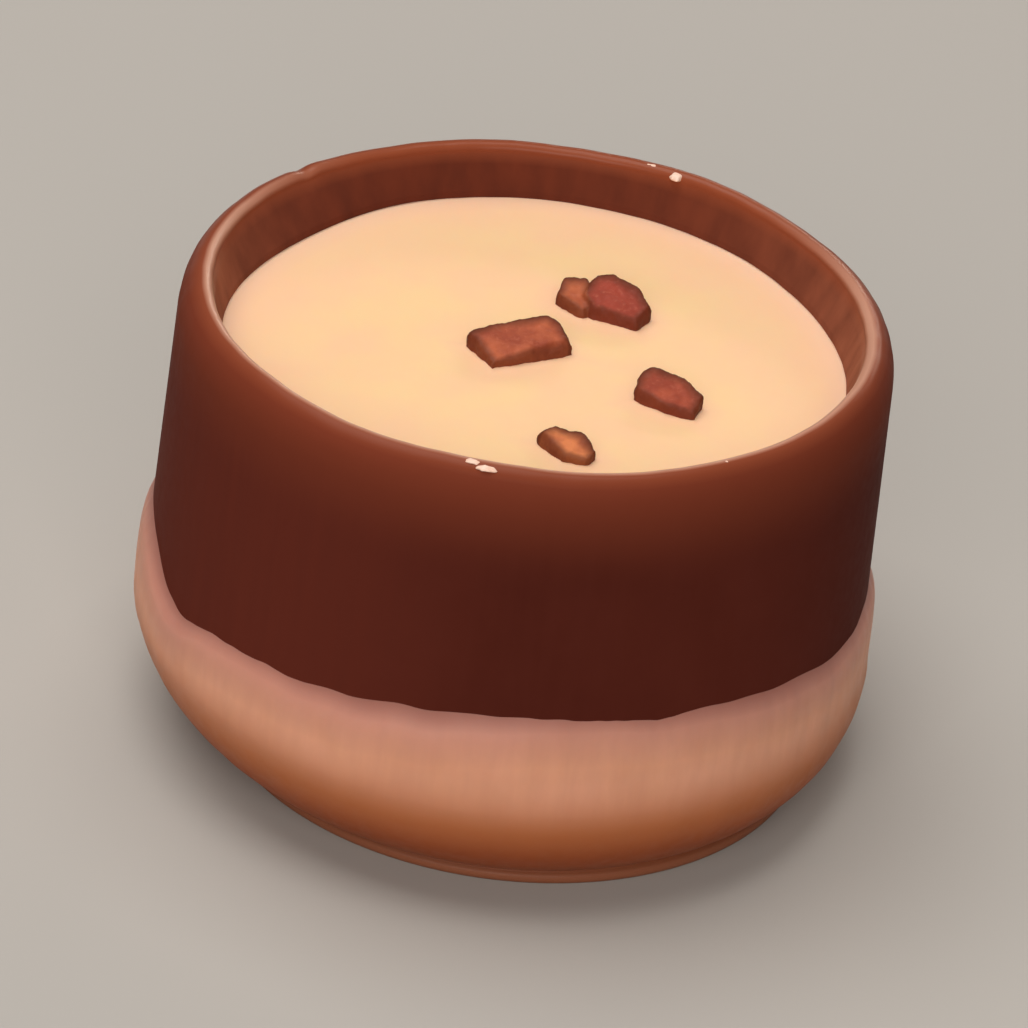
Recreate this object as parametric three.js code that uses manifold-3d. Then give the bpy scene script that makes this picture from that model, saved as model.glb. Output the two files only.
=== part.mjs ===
// Filled chocolate cup: a round milk chocolate shell whose lower part is dipped in pale chocolate,
// filled with set cream and finished with a few chopped chocolate pieces.
// Millimetres, +Z up, the origin on the cup's axis at the height of the flat foot. An azimuth is
// measured round the cup from the front (-Y), and grows towards the right (+X).
import * as THREE from "three";
import { ConvexGeometry } from "three/addons/geometries/ConvexGeometry.js";
import { mergeVertices } from "three/addons/utils/BufferGeometryUtils.js";
import Module from "manifold-3d";

// Driving dimensions.
const HEIGHT = 20.6; // flat foot to the crest of the rim
const RIM_RADIUS = 14.0; // at the crest of the rim
const WALL_RADIUS_TOP = 15.0; // outside of the shell, just below the rim
const WALL_RADIUS_LOW = 15.35; // outside of the shell, where the pale coat hides it
const CAVITY_RADIUS = 13.2; // inside of the shell, at the cream
const CREAM_DEPTH = 2.45; // crest of the rim down to the cream
const COAT_RADIUS = 15.85; // the pale coat at its widest
const COAT_WIDEST_HEIGHT = 5.8;
const FOOT_RADIUS = 13.0; // outside of the thin lip that the coat stands on
const SEAM_HEIGHT = 9.1; // mean height of the dipping line
const COAT_UNDER_SHELL = 2.3; // foot to the underside of the shell
const GAP = 0.15; // clearance between neighbouring pieces

// Finer sizes.
const RIM_ROUNDING_HEIGHT = 2.0; // outside of the rim
const LIP_ROUNDING = 0.35; // inside of the rim
const LIP_SLOPE_END = 0.25; // the inside slopes in from the rim down to this height above the cream
const WALL_LOW_HEIGHT = 7.1; // the shell's bottom corner starts here
const SHELL_FLOOR = 1.8;
const SHELL_CORNER = 4.5;
const CAVITY_CORNER = 3;
const COAT_EDGE = 0.15; // thickness of the coat's top edge
const COAT_SHOULDER = 0.6; // how far up from the widest to the seam the coat stays full
const COAT_UNEVENNESS = 0.14;
const COAT_TWIST = Math.PI / 3; // turns the wide sides of the uneven coat
const BELLY_DEPTH = 6; // the coat draws in below its widest on an ellipse of this half width
const FOOT_LIP = 0.2; // how far the foot's lip is rounded
const FOOT_LIP_HEIGHT = 0.5;
const FOOT_CREASE_HEIGHT = 0.6;
const FOOT_SHIFT = 0.86; // the foot isn't quite under the middle
const FOOT_SHIFT_AZIMUTH = Math.PI / 2;
const MENISCUS_WIDTH = 1.2; // the cream climbs the wall a little
const MENISCUS_HEIGHT = 0.12;
const CHIP_SINK = 0.3;
const CHIP_FRONT = 0.5; // the chips lean forward: their front is this share of the height at the back
const CHIP_SHOULDER = 0.6; // share of a chip's height up to where it is widest
const CHIP_TOP = 0.88; // size of a chip's top as a share of its outline
const CHIP_TOP_DROP = 0.92; // every second corner of the top is this much of the height

const SEGMENTS = 72; // round the cup
const ARC_DIVISIONS = 3; // each arc gets twice as many straight steps
const BELLY_STEPS = 8; // from the foot's lip to the widest part of the coat
const SHOULDER_STEPS = 6; // from there to the seam

// Rises and dips of the dipping line: azimuth and half width in degrees, height in millimetres.
const SEAM_WAVES = [
  { azimuth: -118, width: 16, rise: 0.25 },
  { azimuth: -85, width: 14, rise: 0.8 },
  { azimuth: -61, width: 9, rise: -1.0 },
  { azimuth: 15, width: 28, rise: 0.95 },
  { azimuth: 27, width: 4, rise: -0.2 },
  { azimuth: 36, width: 7, rise: 0.25 },
  { azimuth: 53, width: 8, rise: 0.25 },
  { azimuth: 88, width: 14, rise: 0.5 },
  { azimuth: 122, width: 22, rise: -0.45 },
  { azimuth: 165, width: 20, rise: 0.5 },
  { azimuth: -150, width: 22, rise: -0.35 },
];

// Where the shell's wall is thicker inside, in the same form.
const WALL_SWELLS = [
  { azimuth: -124, width: 30, rise: 0.85 },
  { azimuth: 118, width: 30, rise: 0.35 },
];

// Chopped chocolate pieces on the cream: height at the back and the corners of each outline.
const CHIPS = [
  {
    height: 1.2,
    corners: [[2.2, 3.1], [4.1, 2.6], [4.6, 3.6], [4.1, 4.6], [2.9, 5.3], [2.2, 5.1], [1.6, 3.8]],
  },
  {
    height: 1.0,
    corners: [[0.6, 3.9], [1.0, 3.6], [1.8, 3.0], [2.2, 3.4], [1.9, 5.1], [0.8, 4.9]],
  },
  {
    height: 1.05,
    corners: [[-2.8, -0.5], [-1.6, -2.2], [1.5, -0.3], [1.0, 0.8], [0.3, 1.2], [-1.6, 0.4]],
  },
  {
    height: 1.0,
    corners: [[4.3, -3.4], [5.6, -4.2], [6.8, -4.4], [7.1, -3.4], [6.4, -2.4], [4.9, -1.9], [4.4, -2.6]],
  },
  {
    height: 0.8,
    corners: [[0.6, -7.9], [1.7, -9.1], [2.7, -9.2], [3.0, -8.6], [2.4, -7.7], [1.2, -7.4]],
  },
];

const CREAM_LEVEL = HEIGHT - CREAM_DEPTH;
const CAVITY_FLOOR = COAT_UNDER_SHELL + SHELL_FLOOR;

const chocolate = new THREE.MeshStandardMaterial({ color: 0x54281c, roughness: 0.45, metalness: 0 });
const paleChocolate = new THREE.MeshStandardMaterial({ color: 0xdcb08f, roughness: 0.5, metalness: 0 });
const cream = new THREE.MeshStandardMaterial({ color: 0xfdd6a4, roughness: 0.55, metalness: 0 });

// Sum of a list's rises and dips at an azimuth in radians.
function waviness(waves, azimuth) {
  let sum = 0;
  for (const wave of waves) {
    const turn = THREE.MathUtils.radToDeg(azimuth) - wave.azimuth;
    const away = THREE.MathUtils.euclideanModulo(turn + 180, 360) - 180;
    sum += wave.rise * Math.exp(-((away / wave.width) ** 2));
  }
  return sum;
}

// Outside of the shell from the axis to the end of its bottom corner, grown by a clearance.
function shellBottom(path, clearance) {
  const corner = SHELL_CORNER;
  path.moveTo(0, COAT_UNDER_SHELL - clearance);
  path.lineTo(WALL_RADIUS_LOW - corner, COAT_UNDER_SHELL - clearance);
  path.absellipse(
    WALL_RADIUS_LOW - corner,
    WALL_LOW_HEIGHT,
    corner + clearance,
    WALL_LOW_HEIGHT - COAT_UNDER_SHELL + clearance,
    -Math.PI / 2,
    0,
    false,
  );
}

// Inside of the shell at an azimuth, from the height of the cream down to the axis, shrunk by a clearance.
function cavity(path, azimuth, clearance) {
  const wall = CAVITY_RADIUS - waviness(WALL_SWELLS, azimuth);
  const height = CAVITY_FLOOR + CAVITY_CORNER;
  const rounding = CAVITY_CORNER - clearance;
  path.lineTo(wall - clearance, CREAM_LEVEL);
  path.lineTo(wall - clearance, height);
  path.absellipse(wall - CAVITY_CORNER, height, rounding, rounding, 0, -Math.PI / 2, true);
  path.lineTo(0, CAVITY_FLOOR + clearance);
}

// Profile of the chocolate shell at an azimuth, from the axis below, up the outside and into the cavity.
function shellProfile(azimuth) {
  const path = new THREE.Path();
  const shoulder = HEIGHT - RIM_ROUNDING_HEIGHT;
  const lip = HEIGHT - LIP_ROUNDING;
  const rounding = WALL_RADIUS_TOP - RIM_RADIUS;
  const wall = CAVITY_RADIUS - waviness(WALL_SWELLS, azimuth);
  shellBottom(path, 0);
  path.lineTo(WALL_RADIUS_TOP, shoulder);
  path.absellipse(RIM_RADIUS, shoulder, rounding, RIM_ROUNDING_HEIGHT, 0, Math.PI / 2, false);
  path.absellipse(RIM_RADIUS, lip, LIP_ROUNDING, LIP_ROUNDING, Math.PI / 2, Math.PI, false);
  path.lineTo(wall, CREAM_LEVEL + LIP_SLOPE_END);
  cavity(path, azimuth, 0);
  return path.getPoints(ARC_DIVISIONS);
}

// Outside of the coat from the crease above the foot's lip up to its widest.
function belly(widest, shift) {
  const start = Math.asin(1 - FOOT_CREASE_HEIGHT / COAT_WIDEST_HEIGHT);
  const points = [];
  for (let step = 0; step < BELLY_STEPS; step++) {
    const share = 1 - step / BELLY_STEPS;
    const angle = start * share;
    const radius = widest - BELLY_DEPTH * (1 - Math.cos(angle)) + shift * share;
    points.push(new THREE.Vector2(radius, COAT_WIDEST_HEIGHT * (1 - Math.sin(angle))));
  }
  return points;
}

// Profile of the pale coat at an azimuth, from the axis of the foot, up the outside and back inside.
function coatProfile(azimuth) {
  const widest = COAT_RADIUS + COAT_UNEVENNESS * Math.cos(2 * azimuth + COAT_TWIST);
  const shift = FOOT_SHIFT * Math.cos(azimuth - FOOT_SHIFT_AZIMUTH);
  const foot = FOOT_RADIUS + shift;
  const seam = SEAM_HEIGHT + waviness(SEAM_WAVES, azimuth);
  const shoulder = THREE.MathUtils.lerp(COAT_WIDEST_HEIGHT, seam, COAT_SHOULDER);
  const inside = new THREE.Path();
  shellBottom(inside, GAP);
  inside.lineTo(WALL_RADIUS_LOW + GAP, seam);
  const upper = new THREE.SplineCurve([
    new THREE.Vector2(widest, COAT_WIDEST_HEIGHT),
    new THREE.Vector2(widest - COAT_EDGE / 3, shoulder),
    new THREE.Vector2(WALL_RADIUS_LOW + GAP + COAT_EDGE, seam - COAT_EDGE),
  ]);
  return [
    new THREE.Vector2(0, 0),
    new THREE.Vector2(foot - FOOT_LIP, 0),
    new THREE.Vector2(foot, FOOT_LIP_HEIGHT / 2),
    new THREE.Vector2(foot - FOOT_LIP / 2, FOOT_LIP_HEIGHT),
    ...belly(widest, shift),
    ...upper.getPoints(SHOULDER_STEPS),
    ...inside.getPoints(ARC_DIVISIONS).reverse(),
  ];
}

// Profile of the cream at an azimuth: it fills the cavity up to its level and climbs the wall a little.
function creamProfile(azimuth) {
  const wall = CAVITY_RADIUS - waviness(WALL_SWELLS, azimuth) - GAP;
  const path = new THREE.Path();
  path.moveTo(0, CREAM_LEVEL);
  path.lineTo(wall - MENISCUS_WIDTH, CREAM_LEVEL);
  path.quadraticCurveTo(wall - MENISCUS_WIDTH / 3, CREAM_LEVEL, wall, CREAM_LEVEL + MENISCUS_HEIGHT);
  cavity(path, azimuth, GAP);
  return path.getPoints(ARC_DIVISIONS).reverse();
}

// Revolves a profile that may differ from azimuth to azimuth.
function turned(profileAt) {
  const geometry = new THREE.LatheGeometry(profileAt(0), SEGMENTS);
  const position = geometry.getAttribute("position");
  const rows = profileAt(0).length;
  for (let column = 0; column <= SEGMENTS; column++) {
    const azimuth = ((column % SEGMENTS) / SEGMENTS) * 2 * Math.PI;
    profileAt(azimuth).forEach((point, row) => {
      const x = point.x * Math.sin(azimuth);
      const z = point.x * Math.cos(azimuth);
      position.setXYZ(column * rows + row, x, point.y, z);
    });
  }
  return geometry.rotateX(Math.PI / 2);
}

// A chopped piece: its outline stands on the cream and draws in towards a smaller, broken top that
// is highest at the back.
function chipGeometry({ height, corners }) {
  const centre = new THREE.Vector2();
  for (const [x, y] of corners) {
    centre.add(new THREE.Vector2(x, y).divideScalar(corners.length));
  }
  const depths = corners.map((corner) => corner[1]);
  const front = Math.min(...depths);
  const back = Math.max(...depths);
  const points = corners.flatMap(([x, y], index) => {
    const full = height * THREE.MathUtils.mapLinear(y, front, back, CHIP_FRONT, 1);
    const top = full * (index % 2 ? CHIP_TOP_DROP : 1);
    const inX = THREE.MathUtils.lerp(centre.x, x, CHIP_TOP);
    const inY = THREE.MathUtils.lerp(centre.y, y, CHIP_TOP);
    return [
      new THREE.Vector3(x, y, CREAM_LEVEL - CHIP_SINK),
      new THREE.Vector3(x, y, CREAM_LEVEL + CHIP_SHOULDER * full),
      new THREE.Vector3(inX, inY, CREAM_LEVEL + top),
    ];
  });
  return new ConvexGeometry(points);
}

const wasm = await Module();
wasm.setup();

function solidOf(geometry) {
  const bare = geometry.clone();
  bare.deleteAttribute("normal");
  bare.deleteAttribute("uv");
  const merged = mergeVertices(bare);
  return new wasm.Manifold(new wasm.Mesh({
    numProp: 3,
    vertProperties: merged.getAttribute("position").array,
    triVerts: new Uint32Array(merged.index.array),
  }));
}

function geometryOf(solid) {
  const { vertProperties, triVerts } = solid.getMesh();
  const geometry = new THREE.BufferGeometry();
  geometry.setAttribute("position", new THREE.BufferAttribute(vertProperties, 3));
  geometry.setIndex(new THREE.BufferAttribute(triVerts, 1));
  geometry.computeVertexNormals();
  return geometry;
}

// The cream with the chopped pieces fused to its surface.
function creamGeometry() {
  let solid = solidOf(turned(creamProfile));
  for (const chip of CHIPS) {
    solid = solid.add(solidOf(chipGeometry(chip)));
  }
  return geometryOf(solid);
}

function named(name, geometry, material) {
  const mesh = new THREE.Mesh(geometry, material);
  mesh.name = name;
  return mesh;
}

const cup = new THREE.Group();
cup.add(
  named("chocolate_shell", turned(shellProfile), chocolate),
  named("pale_coat", turned(coatProfile), paleChocolate),
  named("cream_filling", creamGeometry(), cream),
);

export default cup;
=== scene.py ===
"""Looks of the filled chocolate cup: a milk chocolate shell dipped in pale chocolate, with set cream
and chopped chocolate on top. Shapes are worked out in millimetres and placed in metres. An azimuth
is measured in radians round the cup from the front (-Y), and grows towards the right (+X)."""

import math

import bmesh
import bpy
import numpy as np
from mathutils import Matrix, Vector, noise


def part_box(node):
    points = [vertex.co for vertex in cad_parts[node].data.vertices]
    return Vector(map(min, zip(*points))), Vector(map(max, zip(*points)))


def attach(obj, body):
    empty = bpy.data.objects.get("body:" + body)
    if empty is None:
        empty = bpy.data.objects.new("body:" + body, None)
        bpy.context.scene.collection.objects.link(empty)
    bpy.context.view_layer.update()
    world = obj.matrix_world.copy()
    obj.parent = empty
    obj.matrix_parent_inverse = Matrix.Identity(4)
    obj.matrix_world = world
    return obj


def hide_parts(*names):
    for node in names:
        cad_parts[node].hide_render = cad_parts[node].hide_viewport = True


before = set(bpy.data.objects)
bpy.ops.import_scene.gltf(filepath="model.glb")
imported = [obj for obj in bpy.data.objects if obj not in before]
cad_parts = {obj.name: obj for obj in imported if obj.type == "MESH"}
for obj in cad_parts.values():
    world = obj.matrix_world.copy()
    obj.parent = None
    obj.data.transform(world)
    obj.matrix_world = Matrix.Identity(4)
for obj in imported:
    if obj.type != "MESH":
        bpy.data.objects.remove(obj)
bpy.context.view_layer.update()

MM = 0.001
SEED = 7
SEGMENTS = 600  # round the cup
REACH = 0.06  # how far a piece reaches into its neighbour, so that no gap shows

# The camera stands where the photograph was taken from. A longer lens shows the cup alone.
CAMERA_AIM_HEIGHT = 10.1
CAMERA_DISTANCE = 265.0
CAMERA_ELEVATION = math.radians(30.6)
CAMERA_ROLL = math.radians(7.2)
PHOTO_SIDE = 1028
CROP_SIDE = 169
SENSOR = 36.0

# Driving dimensions, from the frame where it has them.
shell_low, shell_high = (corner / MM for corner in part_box("chocolate_shell"))
HEIGHT = shell_high.z
SHELL_BASE = shell_low.z
WALL_RADIUS_LOW = shell_high.x
WALL_RADIUS_TOP = WALL_RADIUS_LOW - 0.35
WALL_LOW_HEIGHT = 7.1
SHELL_CORNER = 4.5
RIM_RADIUS = WALL_RADIUS_TOP - 1.0
RIM_DROP = 2.0  # the outside starts to round this far below the crest
LIP_ROUNDING = 0.35  # inside of the crest
LIP_HEIGHT = HEIGHT - LIP_ROUNDING
CREAM_LEVEL = HEIGHT - 2.45
LIP_SLOPE_END = CREAM_LEVEL + 0.25  # the inside slopes from the crest down to here
CAVITY_RADIUS = WALL_RADIUS_TOP - 1.8
CAVITY_FLOOR = SHELL_BASE + 1.8
CAVITY_CORNER = 3.0
COAT_WIDEST_HEIGHT = 5.8
COAT_SHOULDER = 0.6  # how far up from the widest to the seam the coat stays full
COAT_SHOULDER_INSET = 0.06
COAT_EDGE = (0.169, 0.5)  # its thickness near its edge, and how far below the seam
BELLY_DEPTH = 6.0  # below its widest the coat follows an ellipse of this half width
FOOT_LIP = 0.2
FOOT_LIP_HEIGHT = 0.5
FOOT_CREASE_HEIGHT = 0.6
FRAME_COLUMNS = 72  # the frame's coat has this many columns of points
BASE_RINGS = (0, 4, 8)  # radii of the points under the shell
FLAT_RING = 6  # radius of an extra ring of points on another flat stretch
HIDDEN_DROP = 0.3  # the hidden sides of the coat and the cream start this far below their edges

# How the cream climbs the wall and the chopped pieces: from how far away, and how high.
CREAM_CLIMB = (1.2, 0.12)
CREAM_CLIMB_CURVE = 2.4
CHIP_CLIMB = (0.22, 0.10)

# Where the wall is thicker inside: azimuth and half width in degrees, how far in.
WALL_SWELLS = ((-124, 30, 0.85), (118, 30, 0.35))

# A nick in the rim: azimuth in degrees, half width and depth.
NICK = (-130, 0.45, 0.13)

# Unevenness in layers: depth, seed, number of waves, the range of their turns round the cup, and the
# range of their turn in radians for each millimetre upwards.
WALL_RIPPLES = ((0.030, 11, 5, (2, 5), (0.0, 0.2)), (0.004, 12, 10, (24, 60), (0.0, 0.1)))
CREST_RIPPLES = ((0.030, 13, 5, (3, 9), (0.0, 0.0)), (0.006, 14, 8, (20, 50), (0.0, 0.0)))
SEAM_RIPPLES = ((0.022, 1, 8, (14, 44), (0.0, 0.0)),)
COAT_RIPPLES = ((0.025, 21, 6, (2, 7), (0.1, 0.4)), (0.006, 22, 12, (20, 60), (0.0, 0.6)))
COAT_PLEATS = ((0.004, 23, 14, (60, 160), (0.0, 0.25)),)

# How far the uneven crest and coat are drawn in, so that they stay within the solids' box.
CREST_SINK = 0.078
COAT_SINK = 0.060

# Where the wall is painted lighter, standing for the light that falls on it: inside as azimuth and width in
# degrees, outside as azimuth and share.
INSIDE_PAINTED_LIGHT = ((90, 29), (270, 14))
PAINTED_SIDE_LIGHTS = ((-75, 1.0), (80, 0.3))
SIDE_FADE = (0.1, 0.95)  # cosines of the turn away from a side

# A painted highlight makes the rim lightest on a line this far in and down from its crest, which fades
# towards the back.
HIGHLIGHT_LINE = (0.18, 0.05)
BACK_FADE = (-0.85, -0.1)  # cosines of the turn away from the front

# The wall is painted lighter and warmer from this far below the crest, standing for light from above, and
# grows shinier from this far.
TOP_LIGHT_REACH = 5.2
RIM_SHEEN = 1.2

# The coat's colour changes between these heights, with painted shade and warm painted bounce light towards
# the foot, and within these distances of its seam, pinker where it is thin and with painted shade along the
# seam.
BELLY_SHADE_FADE = (6.8, 4.0)
FOOT_SHADE_FADE = (4.8, 2.2)
FOOT_LIP_SHADE_FADE = (0.75, 0.45)
THIN_REACH = 2.4
EDGE_SHADE_REACH = 0.9

# The cream's colour changes within these distances of the wall and of a chopped piece.
CREAM_OUTER_REACH = 5.0
CREAM_WALL_SHADE_REACH = 1.1
CREAM_STAIN_REACH = 1.1

# Chopped chocolate pieces: height at the back, paleness and the corners of each outline.
CHIPS = (
    (1.2, 0.0, ((2.2, 3.1), (4.1, 2.6), (4.6, 3.6), (4.1, 4.6), (2.9, 5.3), (2.2, 5.1), (1.6, 3.8))),
    (1.0, 0.5, ((0.6, 3.9), (1.0, 3.6), (1.8, 3.0), (2.2, 3.4), (1.9, 5.1), (0.8, 4.9))),
    (1.05, 0.35, ((-2.8, -0.5), (-1.6, -2.2), (1.5, -0.3), (1.0, 0.8), (0.3, 1.2), (-1.6, 0.4))),
    (1.0, 0.15, ((4.3, -3.4), (5.6, -4.2), (6.8, -4.4), (7.1, -3.4), (6.4, -2.4), (4.9, -1.9), (4.4, -2.6))),
    (0.8, 0.95, ((0.6, -7.9), (1.7, -9.1), (2.7, -9.2), (3.0, -8.6), (2.4, -7.7), (1.2, -7.4))),
)
CHIP_FRONT = 0.5  # each leans forward: its front is this share of its height at the back
CHIP_SPREAD = 1.05  # the blocks start a little larger, because smoothing draws them in
CHIP_SINK = 0.3
CHIP_SHOULDER = (0.5, 0.7)  # range of a corner's shoulder, as a share of its height
CHIP_INSET = (0.80, 0.95)  # range of the top's corners, as shares of the outline
CHIP_DOME = (1.18, 0.2)  # the top's height at its middle, and how much lower it is at the outline
CHIP_TOP = (0.96, 1.04)  # range of its unevenness
CHIP_VOXEL = 0.05
CHIP_SMOOTHING = 16
CHIP_ROUGHNESS = ((0.9, 0.08), (3.0, 0.025))  # waves in each millimetre, and depth

# A chopped piece has painted shade round its outline, deepest at its back: how far in and how strongly, each
# as its mean and what a side that faces backwards adds.
EDGE_REACH = (0.38, 0.22)
EDGE_STRENGTH = (0.83, 0.17)
EDGE_FULL = 1.2  # full strength reaches in by this less 1, as a share of the reach

# Flecks of cream on the rim: azimuth in degrees, out from the crest, length, width.
FLECKS = (
    (-5.2, 0.28, 0.42, 0.24),
    (-7.8, 0.08, 0.32, 0.20),
    (35.5, 0.10, 0.18, 0.10),
    (158.0, -0.25, 0.24, 0.38),
    (162.5, -0.05, 0.50, 0.08),
)
FLECK_SINK = 0.09
FLECK_THICKNESS = 0.4  # as a share of its width
FLECK_WOBBLE = 0.3  # as a share of its length, its width and the lift
FLECK_LIFT = 0.1
FLECK_WAVES = 5.0  # in each millimetre

# Lights: name, place, size and power, then colour.
SOFTBOXES = (
    ("overhead", (-0.12, 0.06, 0.59), (0.50, 0.50), 2.92, (1.0, 0.95, 0.89)),
    ("front", (-0.03, -0.54, 0.34), (0.50, 0.30), 2.1, (1.0, 0.95, 0.88)),
    ("back", (0.16, 0.54, 0.20), (0.30, 0.05), 0.5, (1.0, 0.80, 0.66)),
)
STUDIO_COLOUR = (1.0, 0.95, 0.9, 1)
STUDIO_STRENGTH = 0.12
FLOOR_HALF_SIDE = 1.5

# Base colours, linear.
WALL_DARK = (0.080, 0.0153, 0.0098)
WALL_WARM = (0.092, 0.0182, 0.0118)
# painted light: the wall's sides lighter, as where light falls on them
WALL_SIDE_LIGHT = (0.134, 0.0268, 0.0165)
WALL_STREAK = (0.102, 0.0215, 0.0145)
# painted light from above on the wall's top part
WALL_TOP_LIGHT = (0.200, 0.042, 0.0210)
INSIDE_DARK = (0.092, 0.0235, 0.0150)
INSIDE_LIGHT = (0.145, 0.0320, 0.0170)
# painted light on both sides of the inside
INSIDE_LIT = (0.420, 0.150, 0.0850)
# painted light on the rounded lip, and a painted highlight along its crest
RIM_LIT_BAND = (0.285, 0.068, 0.0290)
RIM_HIGHLIGHT = (0.560, 0.285, 0.2000)
PALE_DARK = (0.78, 0.368, 0.230)
PALE_LIGHT = (0.85, 0.408, 0.266)
PALE_THREAD = (0.60, 0.26, 0.180)
# painted shade and warm painted bounce light towards the foot and on its lip
PALE_BELLY_SHADE = (0.495, 0.154, 0.054)
PALE_FOOT_SHADE = (0.335, 0.072, 0.017)
PALE_LIP_SHADE = (0.29, 0.110, 0.060)
PALE_THIN = (0.48, 0.210, 0.185)
# painted shade along the seam
PALE_SEAM_SHADE = (0.30, 0.110, 0.080)
CREAM_YELLOW = (0.95, 0.650, 0.352)
CREAM_WARM = (0.965, 0.612, 0.364)
CREAM_OUTER = (0.97, 0.608, 0.392)
# painted shade where the cream meets the wall
CREAM_WALL_SHADE = (0.90, 0.560, 0.420)
CREAM_STAIN = (0.95, 0.550, 0.370)
CHIP_DARK = (0.36, 0.058, 0.034)
CHIP_PALE = (0.70, 0.225, 0.082)
CHIP_PATCH = (0.24, 0.036, 0.020)
CHIP_DUST = (0.58, 0.17, 0.10)
# painted shade round a chopped piece's edges, deepest at the back
CHIP_EDGE_SHADE = (0.11, 0.024, 0.009)
FLECK_DARK = (0.90, 0.58, 0.45)
FLECK_LIGHT = (0.95, 0.72, 0.60)
FLOOR_DARK = (0.47, 0.455, 0.435)
FLOOR_LIGHT = (0.49, 0.475, 0.455)


# ---------------------------------------------------------------- points and meshes


def arc(centre, radii, start, end, steps):
    """Points on an elliptic arc, from angle start to angle end in degrees, both included."""
    angles = np.radians(np.linspace(start, end, steps))
    return [(centre[0] + radii[0] * math.cos(a), centre[1] + radii[1] * math.sin(a)) for a in angles]


def line(start, end, steps):
    """Points on a straight stretch, without its two ends."""
    shares = np.linspace(0, 1, steps + 2)[1:-1]
    return [(start[0] + (end[0] - start[0]) * s, start[1] + (end[1] - start[1]) * s) for s in shares]


def azimuths():
    """Every azimuth of a revolved mesh, as a column."""
    return np.arange(SEGMENTS)[:, None] * 2 * math.pi / SEGMENTS


def away_from(azimuth):
    """Turn from an azimuth in degrees to every azimuth, between half a turn back and half a turn on."""
    return (azimuths() - math.radians(azimuth) + math.pi) % (2 * math.pi) - math.pi


def ripples(height, seed, waves, around, upward):
    """Smooth, seeded unevenness of about unit size that closes round the cup."""
    rng = np.random.default_rng(SEED + seed)
    total = 0
    for _ in range(waves):
        turns = rng.integers(around[0], around[1] + 1)
        rise = rng.uniform(*upward) * rng.choice((-1, 1))
        phase = rng.uniform(0, 2 * math.pi)
        total = total + np.cos(turns * azimuths() + rise * height + phase)
    return total / math.sqrt(waves / 2)


def uneven(height, layers):
    """The sum of several layers of ripples."""
    return sum(depth * ripples(height, *waves) for depth, *waves in layers)


def ramp(values, start, end):
    """0 at start and 1 at end, smooth between them."""
    share = np.clip((values - start) / (end - start), 0, 1)
    return share * share * (3 - 2 * share)


def facing(azimuth, fade):
    """1 where the cup's outside faces an azimuth in degrees, fading between two cosines of the turn."""
    return ramp(np.cos(away_from(azimuth)), *fade)


def everywhere(profile):
    """One profile repeated at every azimuth, as radii and heights."""
    radii, heights = np.array(profile).T
    return np.tile(radii, (SEGMENTS, 1)), np.tile(heights, (SEGMENTS, 1))


def curved(knots, steps):
    """Rows of points on a smooth curve through the knots of each azimuth (Catmull-Rom)."""
    padded = np.concatenate([knots[:, :1], knots, knots[:, -1:]], axis=1)
    spans = knots.shape[1] - 1
    a, b, c, d = (padded[:, start:start + spans, None] for start in range(4))
    t = np.linspace(0, 1, steps + 1)[1:, None]
    square = 2 * a - 5 * b + 4 * c - d
    cube = 3 * b - a - 3 * c + d
    points = b + 0.5 * ((c - a) * t + square * t**2 + cube * t**3)
    return np.concatenate([knots[:, :1], points.reshape(SEGMENTS, -1, 2)], axis=1)


def linked(name, data):
    """An object of the scene that holds the data."""
    made = bpy.data.objects.new(name, data)
    bpy.context.scene.collection.objects.link(made)
    return made


def linked_mesh(name, shape):
    """An object made from a bmesh, which is freed."""
    mesh = bpy.data.meshes.new(name)
    shape.to_mesh(mesh)
    shape.free()
    return linked(name, mesh)


def revolved(name, radii, heights):
    """A closed mesh from rows of radii and heights, given as (azimuth, row); it ends on the axis."""
    ring = np.stack([radii * np.sin(azimuths()), -radii * np.cos(azimuths()), heights], axis=2)
    poles = [(0, 0, heights[:, 0].mean()), (0, 0, heights[:, -1].mean())]
    verts = np.concatenate([ring[:, 1:-1].reshape(-1, 3), poles]) * MM
    inner = radii.shape[1] - 2
    near = np.arange(SEGMENTS)
    far = (near + 1) % SEGMENTS
    row = np.arange(inner - 1)
    a = (near[:, None] * inner + row).ravel()
    b = (far[:, None] * inner + row).ravel()
    quads = np.stack([a, b, b + 1, a + 1], axis=1).tolist()
    start = np.full(SEGMENTS, SEGMENTS * inner)
    first = np.stack([start, far * inner, near * inner], axis=1).tolist()
    last = np.stack([start + 1, (near + 1) * inner - 1, (far + 1) * inner - 1], axis=1).tolist()
    mesh = bpy.data.meshes.new(name)
    mesh.from_pydata(verts.tolist(), [], quads + first + last)
    mesh.shade_smooth()
    return linked(name, mesh)


def store(piece, name, values):
    """Keeps a number for each point of a piece, for its material."""
    kept = piece.data.attributes.new(name, "FLOAT", "POINT")
    kept.data.foreach_set("value", values.astype(np.float32))


def mark(piece, **marks):
    """Keeps numbers given as (azimuth, row), in the order of a revolved mesh's points."""
    for name, values in zip(marks, np.broadcast_arrays(*marks.values())):
        store(piece, name, np.append(values[:, 1:-1].ravel(), [values[0, 0], values[0, -1]]))


# ---------------------------------------------------------------- shell


def wall_swell():
    """How far the wall stands in from the cavity's usual radius."""
    total = 0
    for azimuth, width, rise in WALL_SWELLS:
        total = total + rise * np.exp(-((away_from(azimuth) / math.radians(width)) ** 2))
    return total


def nick():
    """How deep the nick in the rim is."""
    azimuth, width, depth = NICK
    return depth * np.exp(-((away_from(azimuth) * RIM_RADIUS / width) ** 2))


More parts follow.
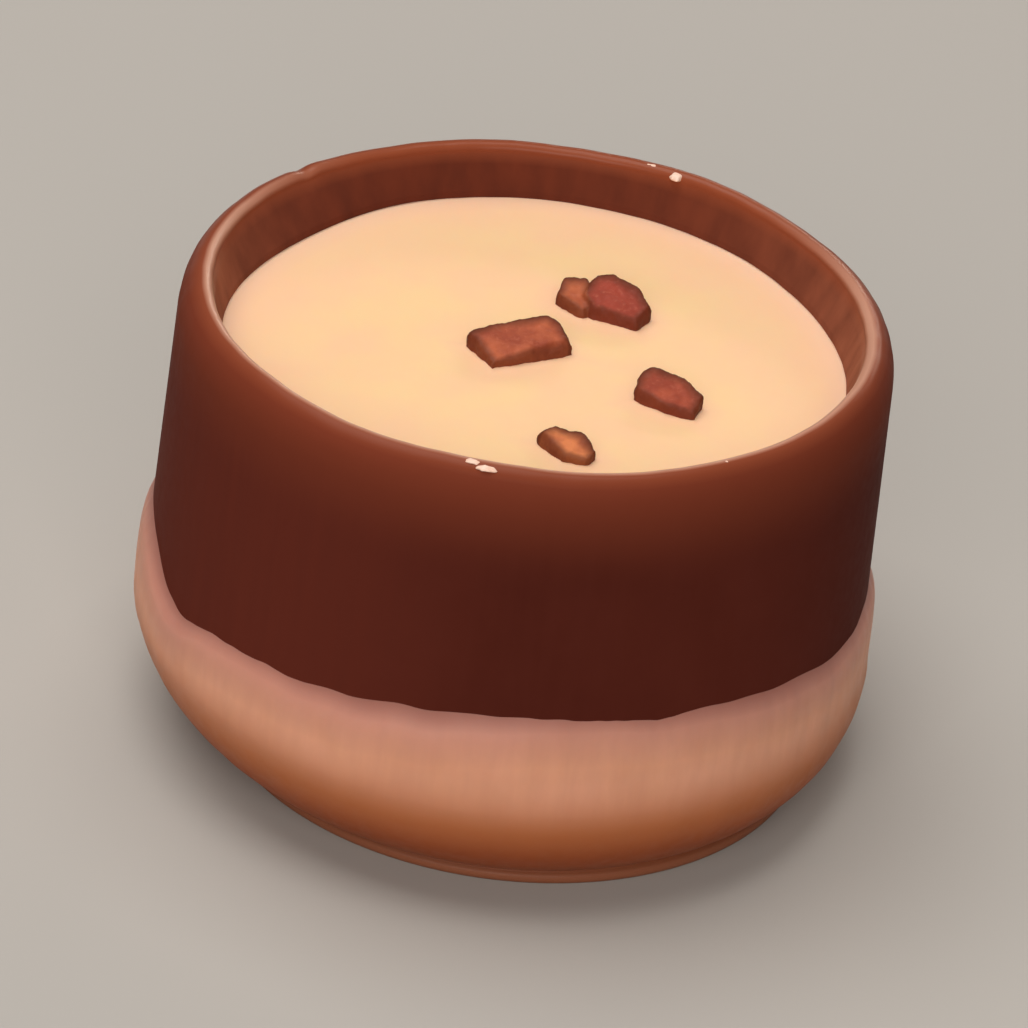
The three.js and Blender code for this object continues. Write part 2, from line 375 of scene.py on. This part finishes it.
def shell_outside():
    """Profile from the axis below, up the wall and over the crest."""
    rim = HEIGHT - RIM_DROP
    corner = (WALL_RADIUS_LOW - SHELL_CORNER, WALL_LOW_HEIGHT)
    profile = [(radius, SHELL_BASE) for radius in BASE_RINGS]
    profile += arc(corner, (SHELL_CORNER, WALL_LOW_HEIGHT - SHELL_BASE), -90, 0, 10)
    profile += line((WALL_RADIUS_LOW, WALL_LOW_HEIGHT), (WALL_RADIUS_TOP, rim), 40)
    profile += arc((RIM_RADIUS, rim), (WALL_RADIUS_TOP - RIM_RADIUS, RIM_DROP), 0, 90, 24)
    profile += arc((RIM_RADIUS, LIP_HEIGHT), (LIP_ROUNDING, LIP_ROUNDING), 90, 180, 14)[1:]
    return profile


def shell_inside():
    """Profile from the crest down the inside to the axis."""
    corner = (CAVITY_RADIUS - CAVITY_CORNER, CAVITY_FLOOR + CAVITY_CORNER)
    profile = line((RIM_RADIUS - LIP_ROUNDING, LIP_HEIGHT), (CAVITY_RADIUS, LIP_SLOPE_END), 16)
    profile += line((CAVITY_RADIUS, LIP_SLOPE_END), (CAVITY_RADIUS, corner[1]), 8)
    profile += arc(corner, (CAVITY_CORNER, CAVITY_CORNER), 0, -90, 6)
    profile += [(FLAT_RING, CAVITY_FLOOR), (0, CAVITY_FLOOR)]
    return profile


def shell():
    """The milk chocolate shell: floor, wall and rounded rim, a little uneven."""
    outer = shell_outside()
    radii, heights = everywhere(outer + shell_inside())
    inside = np.zeros_like(radii)
    inside[:, len(outer):] = 1
    # distance from the painted highlight's line, which also sets the lip's band of painted light
    from_crest = np.hypot(radii - (RIM_RADIUS - HIGHLIGHT_LINE[0]), heights - (HEIGHT - HIGHLIGHT_LINE[1]))
    down_slope = np.clip((LIP_HEIGHT - heights) / (LIP_HEIGHT - LIP_SLOPE_END), 0, 1)
    wall = ramp(heights, WALL_LOW_HEIGHT, HEIGHT)
    crest = ramp(heights, HEIGHT - 1, HEIGHT)
    radii += wall * uneven(heights, WALL_RIPPLES) - inside * down_slope * wall_swell()
    heights += crest * (uneven(0, CREST_RIPPLES) - CREST_SINK - nick())
    piece = revolved("shell", radii, heights)
    # Painted light: the inside lighter at both sides, and the outside lighter at its sides.
    bloom = sum(np.exp(-abs(away_from(azimuth)) / math.radians(width)) for azimuth, width in INSIDE_PAINTED_LIGHT)
    sides = sum(share * facing(azimuth, SIDE_FADE) for azimuth, share in PAINTED_SIDE_LIGHTS)
    mark(piece, inside=inside, bloom=inside * bloom, sides=sides)
    # the painted highlight fades towards the back
    mark(piece, from_crest=from_crest, not_back=facing(0, BACK_FADE))
    return piece


# ---------------------------------------------------------------- coat


def coat_measures():
    """Height of the seam, widest radius and foot radius at each azimuth, read from the frame's coat."""
    points = np.array([vertex.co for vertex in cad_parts["pale_coat"].data.vertices]) / MM
    radius = np.hypot(points[:, 0], points[:, 1])
    turn = np.arctan2(points[:, 0], -points[:, 1]) / (2 * math.pi)
    column = np.round(turn * FRAME_COLUMNS).astype(int) % FRAME_COLUMNS
    seam, widest, foot = np.zeros((3, FRAME_COLUMNS))
    standing = points[:, 2] < REACH
    np.maximum.at(seam, column, points[:, 2])
    np.maximum.at(widest, column, radius)
    np.maximum.at(foot, column[standing], radius[standing])
    return smoothed(seam), smoothed(widest), smoothed(foot)


def smoothed(columns):
    """Values at the frame's columns, spread smoothly over every azimuth."""
    known = np.arange(FRAME_COLUMNS) / FRAME_COLUMNS
    fine = np.interp(np.arange(SEGMENTS) / SEGMENTS, known, columns, period=1)
    reach = SEGMENTS // FRAME_COLUMNS
    kernel = np.hanning(2 * reach + 3)[1:-1]
    padded = np.concatenate([fine[-reach:], fine, fine[:reach]])
    return np.convolve(padded, kernel / kernel.sum(), "valid")


def coat():
    """The pale chocolate that the lower part is dipped in, thin at its wavy edge."""
    seam, widest, foot = coat_measures()
    seam = seam + uneven(0, SEAM_RIPPLES).ravel()
    slope = (WALL_RADIUS_LOW - WALL_RADIUS_TOP) / (HEIGHT - RIM_DROP - WALL_LOW_HEIGHT)
    wall = WALL_RADIUS_LOW - slope * (seam - WALL_LOW_HEIGHT)
    outside = coat_outside(seam, widest, foot, wall)
    outside[:, :, 0] += coat_relief(seam[:, None], outside[:, :, 1])
    both = np.concatenate([outside, coat_inside(seam, wall)], axis=1)
    radii, heights = np.moveaxis(both, 2, 0)
    piece = revolved("coat", radii, heights)
    mark(piece, below_seam=seam[:, None] - heights)
    return piece


def coat_relief(seam, heights):
    """Low swells and ripples of the coat, and fine pleats below its seam."""
    body = ramp(heights, 0.4, 2.2)
    below = seam - heights
    pleats = ramp(below, 0.05, 0.7) * ramp(below, 4.5, 1.2)
    return body * (uneven(heights, COAT_RIPPLES) - COAT_SINK) + pleats * uneven(heights, COAT_PLEATS)


def coat_outside(seam, widest, foot, wall):
    """The foot's underside, its thin lip, the belly's ellipse, and the shoulder up to the seam."""
    level = np.zeros(SEGMENTS)

    def row(radius, height):
        return np.stack([level + radius, level + height], axis=1)

    base = [row(0, 0), row(FLAT_RING, 0), row(foot - 2 * FOOT_LIP, 0)]
    for out, up in arc((0, 0), (FOOT_LIP, FOOT_LIP_HEIGHT / 2), -80, 75, 9):
        base.append(row(foot - FOOT_LIP + out, FOOT_LIP_HEIGHT / 2 + up))
    knots = []
    crease = math.asin(1 - FOOT_CREASE_HEIGHT / COAT_WIDEST_HEIGHT)
    for angle in np.linspace(crease, 0, 9):
        shift = (foot - foot.mean()) * angle / crease
        radius = widest - BELLY_DEPTH * (1 - math.cos(angle)) + shift
        knots.append(row(radius, COAT_WIDEST_HEIGHT * (1 - math.sin(angle))))
    shoulder = COAT_WIDEST_HEIGHT + (seam - COAT_WIDEST_HEIGHT) * COAT_SHOULDER
    knots.append(row(widest - COAT_SHOULDER_INSET, shoulder))
    knots.append(row(wall + COAT_EDGE[0], seam - COAT_EDGE[1]))
    knots.append(row(wall - REACH, seam))
    return np.concatenate([np.stack(base, axis=1), curved(np.stack(knots, axis=1), 5)], axis=1)


def coat_inside(seam, wall):
    """The hidden side, which lies against the shell."""
    corner = (WALL_RADIUS_LOW - SHELL_CORNER, WALL_LOW_HEIGHT)
    top = [(0, 0)]  # its place differs from azimuth to azimuth
    bottom = arc(corner, (SHELL_CORNER, WALL_LOW_HEIGHT - SHELL_BASE), 0, -90, 8)
    radii, heights = everywhere(top + bottom + [(FLAT_RING, SHELL_BASE), (0, SHELL_BASE)])
    radii[:, 0] = wall - 2 * REACH
    heights[:, 0] = seam - HIDDEN_DROP
    return np.stack([radii, heights], axis=2)


# ---------------------------------------------------------------- cream and chopped pieces


def beyond_sides(x, y, corners):
    """How far points lie beyond each side of an outline, and how much each side faces backwards."""
    corners = np.array(corners)
    ahead = np.roll(corners, -1, axis=0) - corners
    normals = np.stack([ahead[:, 1], -ahead[:, 0]], axis=1) / np.linalg.norm(ahead, axis=1)[:, None]
    distances = [(x - cx) * nx + (y - cy) * ny for (cx, cy), (nx, ny) in zip(corners, normals)]
    return np.array(distances), normals[:, 1]


def outside_outlines(x, y):
    """How far points lie outside each chopped piece's outline; less than 0 inside it."""
    return np.array([beyond_sides(x, y, corners)[0].max(axis=0) for _, _, corners in CHIPS])


def edge_shade(x, y, corners):
    """How dark a chopped piece is: 1 at its back edge, less at its front, 0 in the middle."""
    distances, backward = beyond_sides(x, y, corners)
    reach = EDGE_REACH[0] + EDGE_REACH[1] * backward[:, None]
    strength = EDGE_STRENGTH[0] + EDGE_STRENGTH[1] * backward[:, None]
    return (strength * np.clip(EDGE_FULL + distances / reach, 0, 1)).max(axis=0)


def cream_swell(x, y):
    """Low, wide waves of the nearly level cream."""
    return 0.022 * np.sin(0.5 * x + 1.2) * np.cos(0.42 * y - 0.4) + 0.010 * np.sin(1.1 * x - 0.8 * y)


def cream():
    """The set cream: nearly level, climbing the wall and the chopped pieces a little."""
    wall = CAVITY_RADIUS + REACH
    margin, climb = CREAM_CLIMB
    top = [(r, CREAM_LEVEL) for r in np.linspace(0, wall - margin, 105)]
    for share in np.linspace(0, 1, 14)[1:]:
        top.append((wall - margin * (1 - share), CREAM_LEVEL + climb * share**CREAM_CLIMB_CURVE))
    corner = (CAVITY_RADIUS - CAVITY_CORNER, CAVITY_FLOOR + CAVITY_CORNER)
    under = [(wall, CREAM_LEVEL - HIDDEN_DROP)]
    under += arc(corner, (CAVITY_CORNER, CAVITY_CORNER), 0, -90, 6)
    under += [(FLAT_RING, CAVITY_FLOOR), (0, CAVITY_FLOOR)]
    radii, heights = everywhere((top + under)[::-1])
    radii *= 1 - wall_swell() / CAVITY_RADIUS
    x, y = radii * np.sin(azimuths()), -radii * np.cos(azimuths())
    on_top = heights > CREAM_LEVEL - REACH
    from_chips = outside_outlines(x, y).min(axis=0)
    reach, rise = CHIP_CLIMB
    heights += on_top * (cream_swell(x, y) + rise * np.exp(-np.clip(from_chips, 0, None) / reach))
    piece = revolved("cream", radii, heights)
    mark(piece, from_chips=from_chips, from_wall=CAVITY_RADIUS - wall_swell() - radii)
    return piece


def chip(height, corners, rng):
    """One chopped piece: a broken block with steep sides and a rough top that leans forward."""
    corners = np.array(corners)
    centre = corners.mean(axis=0)
    corners = centre + (corners - centre) * CHIP_SPREAD
    front, back = corners[:, 1].min(), corners[:, 1].max()
    block = bmesh.new()
    for corner in corners:
        top = height * (CHIP_FRONT + (1 - CHIP_FRONT) * (corner[1] - front) / (back - front))
        for level in (-CHIP_SINK, rng.uniform(*CHIP_SHOULDER) * top):
            block.verts.new((*corner, CREAM_LEVEL + level))
        for inset in rng.uniform(*CHIP_INSET, 2):
            level = top * (CHIP_DOME[0] - CHIP_DOME[1] * inset) * rng.uniform(*CHIP_TOP)
            block.verts.new((*(centre + (corner - centre) * inset), CREAM_LEVEL + level))
    hull = bmesh.ops.convex_hull(block, input=block.verts)
    bmesh.ops.delete(block, geom=hull["geom_interior"], context="VERTS")
    return block


def chip_blocks():
    """All chopped pieces as plain blocks in one mesh."""
    rng = np.random.default_rng(SEED + 40)
    joined = bmesh.new()
    for height, _, corners in CHIPS:
        block = chip(height, corners, rng)
        mesh = bpy.data.meshes.new("block")
        block.to_mesh(mesh)
        block.free()
        joined.from_mesh(mesh)
        bpy.data.meshes.remove(mesh)
    return linked_mesh("chips", joined)


def chips():
    """All chopped pieces as one piece, remeshed finely and roughened."""
    piece = chip_blocks()
    remesh = piece.modifiers.new("remesh", "REMESH")
    remesh.mode = "VOXEL"
    remesh.voxel_size = CHIP_VOXEL
    smooth = piece.modifiers.new("smooth", "SMOOTH")
    smooth.iterations = CHIP_SMOOTHING
    depsgraph = bpy.context.evaluated_depsgraph_get()
    done = bpy.data.meshes.new_from_object(piece.evaluated_get(depsgraph))
    piece.modifiers.clear()
    piece.data = done
    for frequency, depth in CHIP_ROUGHNESS:
        roughen(done, frequency, depth)
    mark_chips(piece)
    done.transform(Matrix.Scale(MM, 4))
    done.shade_smooth()
    return piece


def roughen(mesh, frequency, depth):
    """Moves each point of a mesh in or out, as broken chocolate is rough."""
    moved = [
        vertex.co + vertex.normal * (depth * noise.fractal(vertex.co * frequency, 0.8, 2.1, 3))
        for vertex in mesh.vertices
    ]
    for vertex, place in zip(mesh.vertices, moved):
        vertex.co = place


def mark_chips(piece):
    """Keeps each point's paleness and edge shade, from the chopped piece that it belongs to."""
    x, y, _ = np.array([vertex.co for vertex in piece.data.vertices]).T
    own = np.argmin(outside_outlines(x, y), axis=0)
    edges = np.array([edge_shade(x, y, corners) for _, _, corners in CHIPS])
    store(piece, "tone", np.array([tone for _, tone, _ in CHIPS])[own])
    store(piece, "edge", np.take_along_axis(edges, own[None], axis=0)[0])


def below_crest(out):
    """How far the rim has dropped at a distance out from its crest."""
    half = WALL_RADIUS_TOP - RIM_RADIUS
    if out < 0:
        return LIP_ROUNDING * (1 - math.sqrt(1 - (out / LIP_ROUNDING) ** 2))
    return RIM_DROP * (1 - math.sqrt(1 - (out / half) ** 2))


def flecks():
    """Small smears of cream that stick to the rim."""
    noise.seed_set(SEED)  # noise_vector differs from run to run without it
    joined = bmesh.new()
    for azimuth, out, length, width in FLECKS:
        turn = math.radians(azimuth)
        radius = RIM_RADIUS + out
        height = HEIGHT - below_crest(out) - FLECK_SINK
        place = Matrix.Translation((radius * math.sin(turn), -radius * math.cos(turn), height))
        form = Matrix.Diagonal((length, width, FLECK_THICKNESS * width, 1.0))
        shape = place @ Matrix.Rotation(turn, 4, "Z") @ form
        made = bmesh.ops.create_icosphere(joined, subdivisions=4, radius=1.0, matrix=shape)
        for vertex in made["verts"]:
            wave = noise.noise_vector(vertex.co * FLECK_WAVES)
            vertex.co += FLECK_WOBBLE * Vector((wave.x * length, wave.y * width, FLECK_LIFT * wave.z))
    bmesh.ops.scale(joined, vec=(MM, MM, MM), verts=joined.verts)
    piece = linked_mesh("flecks", joined)
    piece.data.shade_smooth()
    return piece


# ---------------------------------------------------------------- shader nodes


def node(tree, kind, inputs=None, **settings):
    """A new shader node. An input given as a socket is linked, and any other is set."""
    made = tree.nodes.new("ShaderNode" + kind)
    for key, value in settings.items():
        setattr(made, key, value)
    for key, value in (inputs or {}).items():
        if isinstance(value, bpy.types.NodeSocket):
            tree.links.new(value, made.inputs[key])
        else:
            made.inputs[key].default_value = value
    return made


def surface(name, **constants):
    """A material with its Principled shader, whose constant inputs are set on its own sockets."""
    material = bpy.data.materials.new(name)
    material.use_nodes = True
    tree = material.node_tree
    shader = tree.nodes["Principled BSDF"]
    for key, value in constants.items():
        shader.inputs[key.replace("_", " ")].default_value = value
    place = node(tree, "TexCoord").outputs["Object"]
    return material, tree, shader, place


def metres(lengths):
    """Lengths in millimetres, as the shaders measure them."""
    return [length * MM for length in lengths]


def mottle(tree, place, scale, detail=3.0, stretch=(1, 1, 1)):
    """Noise of a size given in waves per millimetre, stretched along an axis if asked."""
    size = tuple(scale * s / MM for s in stretch)
    mapped = node(tree, "Mapping", {"Vector": place, "Scale": size}).outputs["Vector"]
    made = node(tree, "TexNoise", {"Vector": mapped, "Scale": 1.0, "Detail": detail})
    return made.outputs[0]


def spread(tree, value, low, high, to_low=0.0, to_high=1.0, **settings):
    """Maps a value from one range to another, and holds it at the ends."""
    inputs = {"Value": value, "From Min": low, "From Max": high, "To Min": to_low, "To Max": to_high}
    return node(tree, "MapRange", inputs, **settings).outputs["Result"]


def blend(tree, factor, first, second):
    """Mixes two colours."""
    made = tree.nodes.new("ShaderNodeMix")
    made.data_type = "RGBA"
    tree.links.new(factor, made.inputs[0])
    for index, colour in ((6, first), (7, second)):
        if isinstance(colour, bpy.types.NodeSocket):
            tree.links.new(colour, made.inputs[index])
        else:
            made.inputs[index].default_value = (*colour, 1.0)
    return made.outputs[2]


def attribute(tree, name):
    """A number that a piece keeps for each of its points."""
    return node(tree, "Attribute", attribute_name=name).outputs["Fac"]


def math_of(tree, operation, first, second):
    """A number worked out from two others."""
    return node(tree, "Math", {0: first, 1: second}, operation=operation).outputs["Value"]


def height_of(tree, place):
    """Height above the floor in metres."""
    return node(tree, "SeparateXYZ", {"Vector": place}).outputs["Z"]


def bump(tree, height, distance, strength, normal=None):
    """Fine relief, with its depth in millimetres."""
    inputs = {"Height": height, "Distance": distance * MM, "Strength": strength}
    if normal is not None:
        inputs["Normal"] = normal
    return node(tree, "Bump", inputs).outputs["Normal"]


def grained(tree, shader, place, scale, roughness, depth, strength):
    """Gives a shader a fine grain: uneven roughness between two values, and relief."""
    grain = mottle(tree, place, scale, 4.0)
    tree.links.new(spread(tree, grain, 0.3, 0.7, *roughness), shader.inputs["Roughness"])
    tree.links.new(bump(tree, grain, depth, strength), shader.inputs["Normal"])


# ---------------------------------------------------------------- materials


def wall_colour(tree, place, height, streaks):
    """The shell's outside: patchy, with painted light that makes its sides lighter and its top part lighter
    and warmer.
    """
    patches = spread(tree, mottle(tree, place, 0.3), 0.3, 0.7)
    colour = blend(tree, patches, WALL_DARK, WALL_WARM)
    # painted light on the sides
    colour = blend(tree, attribute(tree, "sides"), colour, WALL_SIDE_LIGHT)
    colour = blend(tree, streaks, colour, WALL_STREAK)
    # painted light from above: lighter and warmer towards the crest
    start = (HEIGHT - TOP_LIGHT_REACH) * MM
    upper = spread(tree, height, start, HEIGHT * MM, 0.0, 0.9, interpolation_type="SMOOTHERSTEP")
    return blend(tree, upper, colour, WALL_TOP_LIGHT)


def inside_colour(tree, place, colour):
    """The shell's inside, veined, and painted lighter at both sides, standing for the light that falls
    there.
    """
    veins = spread(tree, mottle(tree, place, 0.9, 4.0, (1, 1, 0.3)), 0.3, 0.7)
    inner = blend(tree, veins, INSIDE_DARK, INSIDE_LIGHT)
    colour = blend(tree, spread(tree, attribute(tree, "inside"), 0.0, 1.0, 0.0, 0.75), colour, inner)
    # painted light, lighter at both sides of the inside
    painted_inside_light = math_of(tree, "MULTIPLY", spread(tree, veins, 0.0, 1.0, 0.55, 0.95), attribute(tree, "bloom"))
    return blend(tree, painted_inside_light, colour, INSIDE_LIT)


def milk_chocolate():
    """Satin milk chocolate, painted lighter and warmer towards the rim as painted light, with a shine and a
    painted highlight on its crest.
    """
    material, tree, shader, place = surface(
        "milk_chocolate",
        IOR=1.25,
        Specular_IOR_Level=0.04,
        Specular_Tint=(1.0, 0.72, 0.60, 1.0),
        Coat_Roughness=0.3,
        Coat_IOR=1.25,
    )
    height = height_of(tree, place)
    streaks = spread(tree, mottle(tree, place, 1.6, 2.0, (1, 1, 0.08)), 0.35, 0.65, 0.0, 0.25)
    colour = wall_colour(tree, place, height, streaks)
    colour = inside_colour(tree, place, colour)
    from_crest = attribute(tree, "from_crest")
    # painted light on the rounded lip and a painted highlight along the crest; the band also sets where the
    # coat shines
    band = spread(tree, from_crest, 0.9, 0.1)
    colour = blend(tree, band, colour, RIM_LIT_BAND)
    painted_highlight = math_of(tree, "MULTIPLY", spread(tree, from_crest, 0.32, 0.12), attribute(tree, "not_back"))
    colour = blend(tree, painted_highlight, colour, RIM_HIGHLIGHT)
    tree.links.new(colour, shader.inputs["Base Color"])
    tree.links.new(band, shader.inputs["Coat Weight"])
    grain = mottle(tree, place, 2.2, 4.0)
    satin = spread(tree, height, (HEIGHT - RIM_SHEEN) * MM, HEIGHT * MM, 0.58, 0.3)
    roughness = math_of(tree, "ADD", satin, spread(tree, grain, 0.3, 0.7, -0.05, 0.05))
    tree.links.new(roughness, shader.inputs["Roughness"])
    relief = bump(tree, streaks, 0.015, 0.15)
    tree.links.new(bump(tree, grain, 0.012, 0.2, relief), shader.inputs["Normal"])
    return material


def pale_chocolate():
    """Pale chocolate: pinkish where the shell shows through its thin edge, with painted shade along its
    seam, and painted shade and warm bounce light towards the foot.
    """
    material, tree, shader, place = surface(
        "pale_chocolate",
        IOR=1.42,
        Specular_IOR_Level=0.25,
        Subsurface_Weight=0.2,
        Subsurface_Radius=(1.0, 0.5, 0.3),
        Subsurface_Scale=0.5 * MM,
    )
    patches = spread(tree, mottle(tree, place, 0.35), 0.3, 0.7)
    colour = blend(tree, patches, PALE_DARK, PALE_LIGHT)
    threads = spread(tree, mottle(tree, place, 1.5, 4.0, (1, 1, 0.2)), 0.35, 0.65, 0.0, 0.2)
    colour = blend(tree, threads, colour, PALE_THREAD)
    height = height_of(tree, place)
    # painted shade and warm bounce light: darker below the widest, darkest at the foot and its lip
    belly = spread(tree, height, *metres(BELLY_SHADE_FADE), interpolation_type="SMOOTHSTEP")
    colour = blend(tree, belly, colour, PALE_BELLY_SHADE)
    foot = spread(tree, height, *metres(FOOT_SHADE_FADE), interpolation_type="SMOOTHSTEP")
    colour = blend(tree, foot, colour, PALE_FOOT_SHADE)
    lip = spread(tree, height, *metres(FOOT_LIP_SHADE_FADE), 0.0, 0.8)
    colour = blend(tree, lip, colour, PALE_LIP_SHADE)
    below = attribute(tree, "below_seam")
    colour = blend(tree, spread(tree, below, 0.0, THIN_REACH, 0.95, 0.0), colour, PALE_THIN)
    # painted shade along the seam
    colour = blend(tree, spread(tree, below, 0.0, EDGE_SHADE_REACH, 0.80, 0.0), colour, PALE_SEAM_SHADE)
    tree.links.new(colour, shader.inputs["Base Color"])
    grained(tree, shader, place, 1.6, (0.42, 0.56), 0.03, 0.3)
    return material


def set_cream():
    """Set cream, pinker near the wall and near the chopped pieces, and with painted shade where it meets the
    wall.
    """
    material, tree, shader, place = surface(
        "set_cream",
        IOR=1.45,
        Specular_IOR_Level=0.3,
        Subsurface_Weight=0.25,
        Subsurface_Radius=(1.0, 0.6, 0.35),
        Subsurface_Scale=0.7 * MM,
    )
    patches = spread(tree, mottle(tree, place, 0.28, 2.0), 0.35, 0.65)
    colour = blend(tree, patches, CREAM_YELLOW, CREAM_WARM)
    from_wall = attribute(tree, "from_wall")
    colour = blend(tree, spread(tree, from_wall, CREAM_OUTER_REACH, 0.0, 0.0, 0.8), colour, CREAM_OUTER)
    # painted shade right at the wall
    colour = blend(tree, spread(tree, from_wall, CREAM_WALL_SHADE_REACH, 0.0, 0.0, 0.6), colour, CREAM_WALL_SHADE)
    stain = spread(tree, attribute(tree, "from_chips"), 0.0, CREAM_STAIN_REACH, 0.7, 0.0)
    colour = blend(tree, stain, colour, CREAM_STAIN)
    tree.links.new(colour, shader.inputs["Base Color"])
    grained(tree, shader, place, 1.2, (0.42, 0.54), 0.02, 0.2)
    return material


def chopped_chocolate():
    """Broken milk chocolate: lighter and duller than the shell on top, with painted shade round its edges.
    """
    material, tree, shader, place = surface("chopped_chocolate", IOR=1.42, Specular_IOR_Level=0.25)
    colour = blend(tree, attribute(tree, "tone"), CHIP_DARK, CHIP_PALE)
    patches = spread(tree, mottle(tree, place, 0.8), 0.38, 0.62, 0.0, 0.65)
    colour = blend(tree, patches, colour, CHIP_PATCH)
    dust = spread(tree, mottle(tree, place, 5.0), 0.55, 0.75, 0.0, 0.3)
    colour = blend(tree, dust, colour, CHIP_DUST)
    # painted shade round the edges
    colour = blend(tree, attribute(tree, "edge"), colour, CHIP_EDGE_SHADE)
    tree.links.new(colour, shader.inputs["Base Color"])
    grained(tree, shader, place, 4.0, (0.5, 0.7), 0.05, 0.5)
    return material


def dried_cream():
    """Cream that has dried on the rim."""
    material, tree, shader, place = surface("dried_cream", Roughness=0.5)
    tone = spread(tree, mottle(tree, place, 4.0), 0.35, 0.65)
    tree.links.new(blend(tree, tone, FLECK_DARK, FLECK_LIGHT), shader.inputs["Base Color"])
    return material


def pale_floor():
    material, tree, shader, place = surface("pale_floor", Roughness=0.9, Specular_IOR_Level=0.2)
    tone = mottle(tree, place, 0.004, 2.0)
    tree.links.new(blend(tree, tone, FLOOR_DARK, FLOOR_LIGHT), shader.inputs["Base Color"])
    return material


# ---------------------------------------------------------------- stage


def floor():
    """A level surface far larger than the cup."""
    sheet = bmesh.new()
    bmesh.ops.create_grid(sheet, x_segments=2, y_segments=2, size=FLOOR_HALF_SIDE)
    piece = linked_mesh("floor", sheet)
    piece.data.materials.append(pale_floor())


def camera():
    """The photograph's point of view, with a lens that frames the cup."""
    data = bpy.data.cameras.new("camera")
    data.sensor_width = SENSOR
    data.lens = SENSOR * PHOTO_SIDE / CROP_SIDE
    data.clip_start = 0.01
    aim = Vector((0, 0, CAMERA_AIM_HEIGHT * MM))
    away = Vector((0, -math.cos(CAMERA_ELEVATION), math.sin(CAMERA_ELEVATION)))
    seen = away.to_track_quat("Z", "Y").to_matrix().to_4x4()
    lean = Matrix.Rotation(CAMERA_ROLL, 4, "Z")
    made = linked("camera", data)
    made.matrix_world = Matrix.Translation(aim + away * CAMERA_DISTANCE * MM) @ seen @ lean
    bpy.context.scene.camera = made


def softbox(name, place, size, power, colour):
    """A rectangular soft light that faces the cup."""
    data = bpy.data.lights.new(name, "AREA")
    data.shape = "RECTANGLE"
    data.size, data.size_y = size
    data.energy = power
    data.color = colour
    made = linked(name, data)
    made.location = place
    towards = Vector((0, 0, CAMERA_AIM_HEIGHT * MM)) - Vector(place)
    made.rotation_euler = towards.to_track_quat("-Z", "Y").to_euler()


def studio():
    """Soft light from above and from the front, and a low one behind that draws the rim's crest."""
    for box in SOFTBOXES:
        softbox(*box)
    world = bpy.data.worlds.new("studio")
    world.use_nodes = True
    background = world.node_tree.nodes["Background"]
    background.inputs["Color"].default_value = STUDIO_COLOUR
    background.inputs["Strength"].default_value = STUDIO_STRENGTH
    bpy.context.scene.world = world
    bpy.context.scene.view_settings.view_transform = "Standard"


# ---------------------------------------------------------------- the whole


def dress(piece, material, slot, *nodes):
    """Gives a piece its material, hangs it on the root body, and hides the frame's parts that it stands for.
    """
    piece.data.materials.append(material)
    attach(piece, "root")
    if nodes:
        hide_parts(*nodes)


camera()
floor()
studio()
dress(shell(), milk_chocolate(), "milk_chocolate", "chocolate_shell")
dress(coat(), pale_chocolate(), "pale_chocolate", "pale_coat")
dress(cream(), set_cream(), "cream", "cream_filling")
dress(chips(), chopped_chocolate(), "milk_chocolate", "cream_filling")
dress(flecks(), dried_cream(), "cream")
